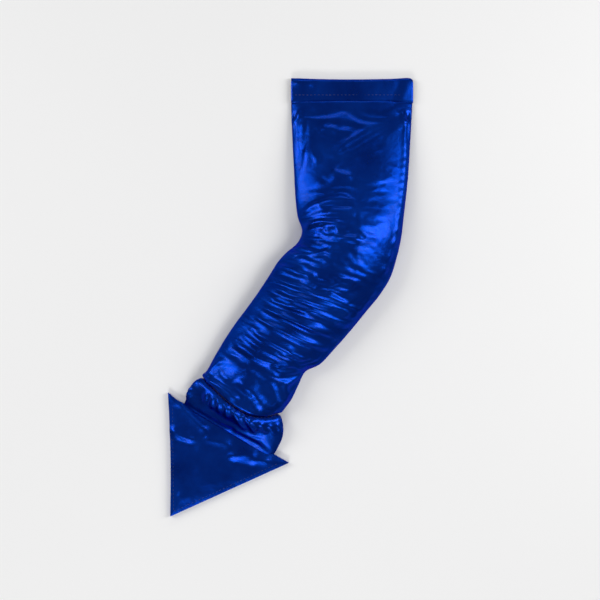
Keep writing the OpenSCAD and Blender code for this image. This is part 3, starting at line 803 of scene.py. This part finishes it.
class TAIL_OT_materials(bpy.types.Operator):
    """Makes the shared finishes and gives them to the frame's own parts"""
    bl_idname = "tail.materials"
    bl_label = "Materials"

    def execute(self, context):
        groups = {"crumple": crumple_group(), "gathers": gathers_group(),
                  "weave": weave_group(), "wear": wear_group()}
        cloth = context.scene.tail_cloth
        lame_material("Blue Lame", cloth, groups, 0.10, 0.0085)
        lame_material("Gathered Lame", cloth, groups, 0.0085, 0.05)
        thread = woven_material("Thread", groups, cloth.thread_colour, (0.003, 0.022, 0.16), 0.0004, 0.45)
        tape = woven_material("Seam Tape", groups, (0.006, 0.02, 0.11), (0.01, 0.03, 0.15), 0.0009, 0.9)
        elastic = woven_material("Elastic And Cord", groups, (0.006, 0.014, 0.07), (0.01, 0.022, 0.10), 0.0012, 0.85)
        stay = moulded_material("Stay Plastic", groups, (0.78, 0.79, 0.76), (0.86, 0.86, 0.83), 0.35)
        steel = moulded_material("Rivet Steel", groups, (0.62, 0.63, 0.65), (0.72, 0.72, 0.74), 0.25, metallic=1)
        board = moulded_material("Foam Board", groups, (0.02, 0.02, 0.022), (0.045, 0.045, 0.05), 0.7, grain=0.0012)
        wadding = wadding_material(groups)
        for name, node in frame["nodes"].items():
            if "wadding" in name:
                finish = wadding
            elif "stitching" in name:
                finish = thread
            elif "stay" in name:
                finish = stay
            elif "rivet" in name or "washer" in name:
                finish = steel
            elif name == "arrow_board":
                finish = board
            elif "elastic" in name or "cord" in name:
                finish = elastic
            elif "tape" in name or "tab" in name:
                finish = tape
            else:
                finish = bpy.data.materials["Blue Lame"]
            for slot in node.material_slots:
                slot.material = finish
        return {"FINISHED"}


class TAIL_OT_tube(bpy.types.Operator):
    """Makes the stuffed tube from the casing's seam to the neck"""
    bl_idname = "tail.tube"
    bl_label = "Tube"

    def execute(self, context):
        shape = context.scene.tail_shape
        rings, girths, at = rings_of(TUBE_RIBS, shape.ring_step, shape.round_points)
        tube = loft("tube_cloth", rings, girths)
        points = bow_neck(coordinates(tube) / MM)
        set_coordinates(tube, raise_folds(points, normals_of(tube), TUBE_FOLDS, FOLD_STRENGTH) * MM)
        lengthwise = points[:, 1] + 0.25 * points[:, 0]
        outer_elbow = np.exp(-(np.linalg.norm(points[:, :2] - (128, 66), axis=1) / 34) ** 2)
        gathered = smoothstep(150, 70, lengthwise) * (1 - 0.5 * smoothstep(-60, -140, lengthwise))
        paint(tube, "gather", 0.05 + 0.95 * gathered * (1 - outer_elbow))
        if shape.settle:
            settle_tube(tube, rings, girths, at, shape)
        smooth_cloth(tube, shape.smoothing)
        dress(tube, "Blue Lame")
        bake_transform(tube)
        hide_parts("upper_front_panel", "upper_back_panel", "elbow_front_panel", "elbow_back_panel",
                    "lower_front_panel", "lower_back_panel", "upper_side_tapes", "lower_side_tapes",
                    "upper_front_wadding", "upper_back_wadding", "elbow_front_wadding", "elbow_back_wadding",
                    "lower_front_wadding", "lower_back_wadding", "top_seam_tapes")
        return {"FINISHED"}


def settle_tube(tube, rings, girths, at, shape):
    """Simulates the tube's cloth over its filling."""
    count = shape.round_points
    angle = np.linspace(0, 2 * math.pi, count + 1)[:-1]
    ring_array = np.array(rings)
    along = np.zeros(len(rings))
    steps = np.linalg.norm(np.diff(ring_array, axis=0), axis=2)
    middle, outer = np.median(steps, axis=1), steps.max(axis=1)
    gathered = smoothstep(0.12, 0.40, (at[1:] + at[:-1]) / 2 / at[-1])
    slack = shape.slack * gathered
    along[1:] = np.cumsum((middle + SLACK_SHARE * (outer - middle)) * (1 + slack))
    tight = 1 - GIRTH_PULL * smoothstep(0.2, 0.4, at / at[-1])
    radius = np.array(girths) * tight / (2 * math.pi)
    cut = np.array([[radius[i] * math.cos(a), along[i], radius[i] * math.sin(a)]
                    for i in range(len(rings)) for a in angle]) * MM
    core_rings, core_girths, _ = rings_of(TUBE_RIBS, 10, 48, inset=CORE_DEPTH)
    core = loft("tube_core", core_rings, core_girths)
    last = (len(rings) - 1) * count
    sewn = set(range(SEWN_AT_TOP * count)) | set(range(last - count, last + count))
    for i in range(len(rings)):
        sewn |= {i * count + j for j in seam_columns(ring_array[i])}
    drape(tube, cut, sorted(sewn), [core, floor_under_cloth()], shape.frames)


def seam_columns(ring):
    """The columns of a ring that lie at its two side seams."""
    count = len(ring)
    across = (ring[:, :2] - ring[:, :2].mean(axis=0)) @ (ring[0, :2] - ring[count // 2, :2])
    left, right = int(across.argmin()), int(across.argmax())
    return {left, (left + 1) % count, (left - 1) % count, right, (right + 1) % count, (right - 1) % count}


class TAIL_OT_cuff(bpy.types.Operator):
    """Makes the puffed cuff between the neck and the arrow"""
    bl_idname = "tail.cuff"
    bl_label = "Cuff"

    def execute(self, context):
        shape = context.scene.tail_shape
        count = shape.round_points * 5 // 3
        rings, girths, at = rings_of(CUFF_RIBS, CUFF_STEP, count)
        cuff = loft("cuff_cloth", rings, girths)
        points = bow_neck(coordinates(cuff) / MM)
        set_coordinates(cuff, raise_folds(points, normals_of(cuff), CUFF_FOLDS) * MM)
        from_neck = np.repeat(at, count)
        paint(cuff, "gather", 0.15 + 0.85 * (1 - smoothstep(8, 26, from_neck)))
        smooth_cloth(cuff, shape.smoothing)
        dress(cuff, "Gathered Lame")
        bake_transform(cuff)
        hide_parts("cuff_front_panel", "cuff_back_panel", "cuff_wadding")
        return {"FINISHED"}


class TAIL_OT_casing(bpy.types.Operator):
    """Makes the belt casing"""
    bl_idname = "tail.casing"
    bl_label = "Belt casing"

    def execute(self, context):
        rings = [casing_profile(x) for x in np.linspace(*TOP_X, CASING_RINGS)]
        girths = [run_along(ring)[-1] for ring in rings]
        casing = loft("casing_cloth", rings, girths, closed_ends=False)
        set_coordinates(casing, raise_folds(coordinates(casing) / MM, normals_of(casing), CASING_FOLDS) * MM)
        thicken(casing, "Cloth Wall", 0.0012)
        smooth_cloth(casing, 1)
        dress(casing, "Blue Lame")
        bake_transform(casing)
        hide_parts("belt_casing")
        return {"FINISHED"}


def casing_lens(share):
    """How thick the casing is at a share of its width, next to its middle."""
    return 1 - END_THINNING * abs(2 * share - 1) ** 6


def casing_profile(x):
    """The casing's closed outline at x, in millimetres: up the back, round the fold and down the front."""
    middle_z = CASING_SEAM.z / MM
    share = (x - TOP_X[0]) / (TOP_X[1] - TOP_X[0])
    corner = smoothstep(0.965, 1.0, share)
    top = TOP_Y - 1.6 * math.sin(math.pi * share) + 0.6 * smoothstep(0.8, 0.95, share) - 3.5 * corner**2
    low = SEAM_Y - 3.0
    rounding = 1 - CASING_TURN
    round_over = CASING_TURN + rounding * np.sin(np.linspace(0.15, math.pi / 2, 9))
    along = np.concatenate([np.linspace(0, CASING_TURN, 14), round_over])
    thick = (CASING_HALF - 1.1 * (1 - smoothstep(0.02, 0.12, along))) * casing_lens(share)
    thick = thick * np.sqrt(np.clip(1 - (np.maximum(along - CASING_TURN, 0) / rounding) ** 2, 0, 1))
    y = low + along * (top - low)
    back = np.column_stack([np.full(len(y), x), y, middle_z - thick])
    front = np.column_stack([np.full(len(y), x), y, middle_z + thick])[-2::-1]
    return np.vstack([back, front])


class TAIL_OT_arrow(bpy.types.Operator):
    """Makes the flat arrow's cloth"""
    bl_idname = "tail.arrow"
    bl_label = "Arrow"

    def execute(self, context):
        bm = bmesh.new()
        bmesh.ops.create_grid(bm, x_segments=ARROW_CELLS, y_segments=ARROW_CELLS, size=0.5)
        for v in bm.verts:
            v.co = Vector((*arrow_point(v.co.x + 0.5, v.co.y + 0.5), 0)) * MM
        bmesh.ops.remove_doubles(bm, verts=list(bm.verts), dist=0.00005)
        made = bmesh.ops.extrude_face_region(bm, geom=list(bm.faces))["geom"]
        for v in (g for g in made if isinstance(g, bmesh.types.BMVert)):
            v.co.z = arrow_thickness(edge_distance(np.array(v.co[:2]) / MM)) * MM
        uv = bm.loops.layers.uv.new("Cloth")
        for face in bm.faces:
            for loop in face.loops:
                loop[uv].uv = (loop.vert.co.x, loop.vert.co.y - loop.vert.co.z)
        bmesh.ops.recalc_face_normals(bm, faces=list(bm.faces))
        arrow = finish_mesh("arrow_cloth", bm)
        points = coordinates(arrow) / MM
        set_coordinates(arrow, raise_folds(points, normals_of(arrow), ARROW_FOLDS) * MM)
        edge = arrow.modifiers.new("Rolled Edge", "BEVEL")
        edge.width = 0.0012
        edge.segments = 3
        edge.angle_limit = math.radians(50)
        dress(arrow, "Blue Lame")
        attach(arrow, "arrow")
        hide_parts("arrow_front_panel", "arrow_back_panel", "arrow_wadding")
        return {"FINISHED"}


def arrow_point(u, t):
    """A point of the arrow's outline patch: u across from the left barb, t from the base to the tip."""
    base = LEFT_BARB + (RIGHT_BARB - LEFT_BARB) * u
    if u < 0.2:
        base = base - BARB_HOLLOW * math.sin(math.pi * u * 5)
    return base + (ARROW_TIP - base) * t + LEFT_EDGE_HOLLOW * math.sin(math.pi * t) * (1 - u)


def edge_distance(p):
    """How far a point of the arrow lies inside its outline, in millimetres."""
    corners = (LEFT_BARB, RIGHT_BARB, ARROW_TIP)
    best = 1e9
    for i in range(3):
        a, b = corners[i], corners[(i + 1) % 3]
        d = (b - a) / np.linalg.norm(b - a)
        best = min(best, abs(float(d[0] * (p[1] - a[1]) - d[1] * (p[0] - a[0]))))
    return max(0.0, best)


def arrow_thickness(inside):
    """The arrow's thickness at a distance inside its outline, in millimetres."""
    return ARROW_RIM + ARROW_SWELL * (1 - math.exp(-inside / ARROW_SWELL_RUN))


def stitch_row(name, path, body, length=2.6, pitch=5.0, thickness=0.5):
    """A row of rounded stitches along a path in millimetres."""
    bm = bmesh.new()
    path = np.asarray(path, float)
    run = run_along(path)
    for n in range(int(run[-1] // pitch)):
        s = (n + 0.5) * pitch
        here = np.array([np.interp(s, run, path[:, k]) for k in range(3)])
        ahead = np.array([np.interp(s + 0.5, run, path[:, k]) for k in range(3)])
        direction = Vector(ahead - here).normalized()
        turn = direction.to_track_quat("X", "Z").to_matrix().to_4x4()
        made = bmesh.ops.create_cube(bm, size=1)["verts"]
        bmesh.ops.scale(bm, verts=made, vec=(length, thickness, thickness))
        faces_edges = list({e for v in made for e in v.link_edges})
        bevelled = bmesh.ops.bevel(bm, geom=faces_edges, offset=thickness * 0.3, offset_type="OFFSET", segments=1,
                                   affect="EDGES", profile=0.5, material=-1)
        verts = list({v for f in bevelled["faces"] for v in f.verts} | {v for v in made if v.is_valid})
        bmesh.ops.transform(bm, matrix=turn, verts=verts)
        bmesh.ops.translate(bm, vec=Vector(here), verts=verts)
    bmesh.ops.scale(bm, verts=list(bm.verts), vec=(MM, MM, MM))
    row = finish_mesh(name, bm)
    dress(row, "Thread")
    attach(row, body)
    return row


class TAIL_OT_elastic(bpy.types.Operator):
    """Makes the elastic that draws the neck in"""
    bl_idname = "tail.elastic"
    bl_label = "Neck elastic"

    def execute(self, context):
        rows, _ = ribs_along(TUBE_RIBS, 1)
        rings, girths = zip(*[section(row, 96, 3.0) for row in rows[-10:]])
        band = loft("neck_band", list(rings), list(girths), closed_ends=False)
        set_coordinates(band, bow_neck(coordinates(band) / MM) * MM)
        thicken(band, "Band Wall", 0.0008)
        dress(band, "Elastic And Cord")
        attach(band, "shank")
        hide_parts("neck_elastic")
        return {"FINISHED"}


class TAIL_OT_stitching(bpy.types.Operator):
    """Sews the rows of stitches"""
    bl_idname = "tail.stitching"
    bl_label = "Stitching"

    def execute(self, context):
        x = np.linspace(TOP_X[0] + 4, TOP_X[1] - 4, 40)
        lens = casing_lens((x - TOP_X[0]) / (TOP_X[1] - TOP_X[0]))
        height = CASING_SEAM.z / MM + CASING_HALF * lens + 0.1
        casing_row = np.column_stack([x, np.full(len(x), SEAM_Y + 7.5), height])
        row = stitch_row("casing_stitches", casing_row, "casing")
        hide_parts("casing_stitching")
        ring, _ = section(np.array((*TUBE_RIBS[-1][0], *TUBE_RIBS[-1][1], TUBE_RIBS[-1][2]), float), 120, -0.2)
        neck_row = stitch_row("neck_stitches", bow_neck(ring[:61]), "shank", thickness=0.35)
        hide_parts("neck_stitching")
        middle = (LEFT_BARB + RIGHT_BARB + ARROW_TIP) / 3
        corners = [c + (middle - c) * k for c, k in ((LEFT_BARB, 0.11), (ARROW_TIP, 0.09), (RIGHT_BARB, 0.11))]
        height = arrow_thickness(4) + 0.25
        edge = np.array([(*c, height) for c in corners])
        arrow_row = stitch_row("arrow_stitches", edge, "arrow", thickness=0.4)
        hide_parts("arrow_stitching")
        return {"FINISHED"}


class TAIL_OT_stage(bpy.types.Operator):
    """Makes the pale floor, the soft lights and the camera"""
    bl_idname = "tail.stage"
    bl_label = "Stage"

    def execute(self, context):
        stage = context.scene.tail_stage
        bm = bmesh.new()
        bmesh.ops.create_grid(bm, x_segments=1, y_segments=1, size=stage.floor_size)
        floor = finish_mesh("floor", bm, smooth=False)
        material, tree, shader, vector = new_material("Pale Floor")
        shade = noise_of(tree, scaled_vector(tree, vector, 3.0), 3)
        tone = colour_between(tree, shade, (0.93, 0.93, 0.93), (0.95, 0.95, 0.95))
        tree.links.new(tone, shader.inputs["Base Color"])
        shader.inputs["Roughness"].default_value = 0.9
        shader.inputs["Specular IOR Level"].default_value = 0.1
        dress(floor, material.name)
        sky()
        for name, place, size, power in LIGHTS:
            light = bpy.data.lights.new(name, "AREA")
            light.shape = "RECTANGLE"
            light.size, light.size_y = size
            light.energy = power
            lamp = bpy.data.objects.new(name, light)
            context.scene.collection.objects.link(lamp)
            lamp.location = place
            lamp.rotation_euler = (-Vector(place)).to_track_quat("-Z", "Y").to_euler()
        camera_data = bpy.data.cameras.new("camera")
        camera = bpy.data.objects.new("camera", camera_data)
        context.scene.collection.objects.link(camera)
        camera.location = (stage.view_x, stage.view_y, stage.camera_height)
        camera_data.sensor_width = 36
        camera_data.lens = camera_data.sensor_width * (stage.camera_height - 0.025) / stage.view_width
        context.scene.camera = camera
        context.scene.view_settings.view_transform = "Standard"
        return {"FINISHED"}


LIGHTS = (
    ("right_softbox", (1.35, 0.30, 1.15), (0.5, 1.3), 14),
    ("left_softbox", (-1.35, 0.45, 1.25), (0.5, 1.2), 11),
    ("far_softbox", (0.2, 1.8, 0.85), (1.2, 0.4), 3.5),
    ("near_softbox", (-0.3, -1.6, 1.15), (1.0, 0.45), 11),
)


def sky():
    """A soft studio all round: dim walls, and a little brighter overhead."""
    world = bpy.data.worlds.new("Studio")
    bpy.context.scene.world = world
    world.use_nodes = True
    tree = world.node_tree
    background = tree.nodes["Background"]
    direction = tree.nodes.new("ShaderNodeTexCoord").outputs["Generated"]
    parts = tree.nodes.new("ShaderNodeSeparateXYZ")
    tree.links.new(direction, parts.inputs[0])
    overhead = tree.nodes.new("ShaderNodeMapRange")
    overhead.interpolation_type = "SMOOTHSTEP"
    set_inputs(overhead, From_Min=0.0, From_Max=0.5, To_Min=0.12, To_Max=0.30)
    tree.links.new(parts.outputs["Z"], overhead.inputs["Value"])
    tree.links.new(overhead.outputs["Result"], background.inputs["Strength"])
    background.inputs["Color"].default_value = (1, 1, 1, 1)


class TAIL_PT_panel(bpy.types.Panel):
    """Lists the tail's settings and the steps that build it"""
    bl_idname = "TAIL_PT_panel"
    bl_label = "Costume Tail"
    bl_space_type = "VIEW_3D"
    bl_region_type = "UI"
    bl_category = "Costume Tail"

    def draw(self, context):
        for settings in (context.scene.tail_cloth, context.scene.tail_shape, context.scene.tail_stage):
            box = self.layout.box()
            for name in settings.bl_rna.properties.keys():
                if name not in ("rna_type", "name"):
                    box.prop(settings, name)
        for operator in OPERATORS:
            self.layout.operator(operator.bl_idname)


SETTINGS = (TailCloth, TailShape, TailStage)
OPERATORS = (TAIL_OT_materials, TAIL_OT_tube, TAIL_OT_cuff, TAIL_OT_elastic, TAIL_OT_casing, TAIL_OT_arrow,
             TAIL_OT_stitching, TAIL_OT_stage)
CLASSES = (*SETTINGS, *OPERATORS, TAIL_PT_panel)


def register():
    for cls in CLASSES:
        bpy.utils.register_class(cls)
    bpy.types.Scene.tail_cloth = PointerProperty(type=TailCloth)
    bpy.types.Scene.tail_shape = PointerProperty(type=TailShape)
    bpy.types.Scene.tail_stage = PointerProperty(type=TailStage)


def unregister():
    del bpy.types.Scene.tail_stage
    del bpy.types.Scene.tail_shape
    del bpy.types.Scene.tail_cloth
    for cls in reversed(CLASSES):
        bpy.utils.unregister_class(cls)


def main():
    register()
    bpy.ops.tail.materials()
    bpy.ops.tail.tube()
    bpy.ops.tail.cuff()
    bpy.ops.tail.elastic()
    bpy.ops.tail.casing()
    bpy.ops.tail.arrow()
    bpy.ops.tail.stitching()
    bpy.ops.tail.stage()
    bpy.context.view_layer.update()


if __name__ == "__main__":
    main()
